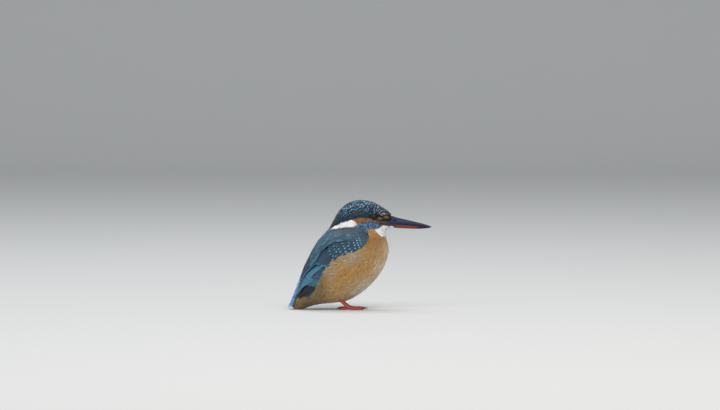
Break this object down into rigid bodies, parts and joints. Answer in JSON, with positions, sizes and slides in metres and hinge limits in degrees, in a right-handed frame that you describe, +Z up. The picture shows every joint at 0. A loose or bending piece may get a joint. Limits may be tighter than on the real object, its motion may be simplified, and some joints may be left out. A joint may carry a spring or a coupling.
{
  "type": "perched kingfisher",
  "caption": "Life-size perched kingfisher with a dagger bill, overlapping wing and tail feathers and small feet, resting on its feet and undertail.",
  "frame": {"origin": "On the floor, half way between the tip of the bill and the tip of the tail, in the bird's middle plane.", "axes": "+X is the way the bill points, +Y the bird's left side, +Z up."},
  "size_m": [0.1286, 0.0468, 0.0985],
  "materials": {
    "plumage_crown": "dense blue-green feathers with turquoise tips, orange, white and azure marks on the cheeks",
    "plumage_breast": "soft rufous-orange body feathers",
    "plumage_wing": "satin dark teal feathers with turquoise spots",
    "plumage_tail": "satin bright blue feathers",
    "bill_dark": "smooth horn, blue-black",
    "bill_below": "smooth horn, orange-red in the middle and dark at both ends",
    "eye": "wet, dark brown",
    "leg_skin": "fine-scaled coral red skin",
    "claw": "dark horn"
  },
  "bodies": {
    "root": {"head": "plumage_crown", "neck": "plumage_breast", "torso": "plumage_breast", "bill_upper": "bill_dark", "bill_lower": "bill_below", "eye_right": "eye", "eye_left": "eye", "wing_right": "plumage_wing", "wing_left": "plumage_wing", "tail": "plumage_tail", "leg_right": "leg_skin", "leg_left": "leg_skin", "claw_right_inner": "claw", "claw_right_middle": "claw", "claw_right_outer": "claw", "claw_right_hind": "claw", "claw_left_inner": "claw", "claw_left_middle": "claw", "claw_left_outer": "claw", "claw_left_hind": "claw"}
  },
  "joints": []
}
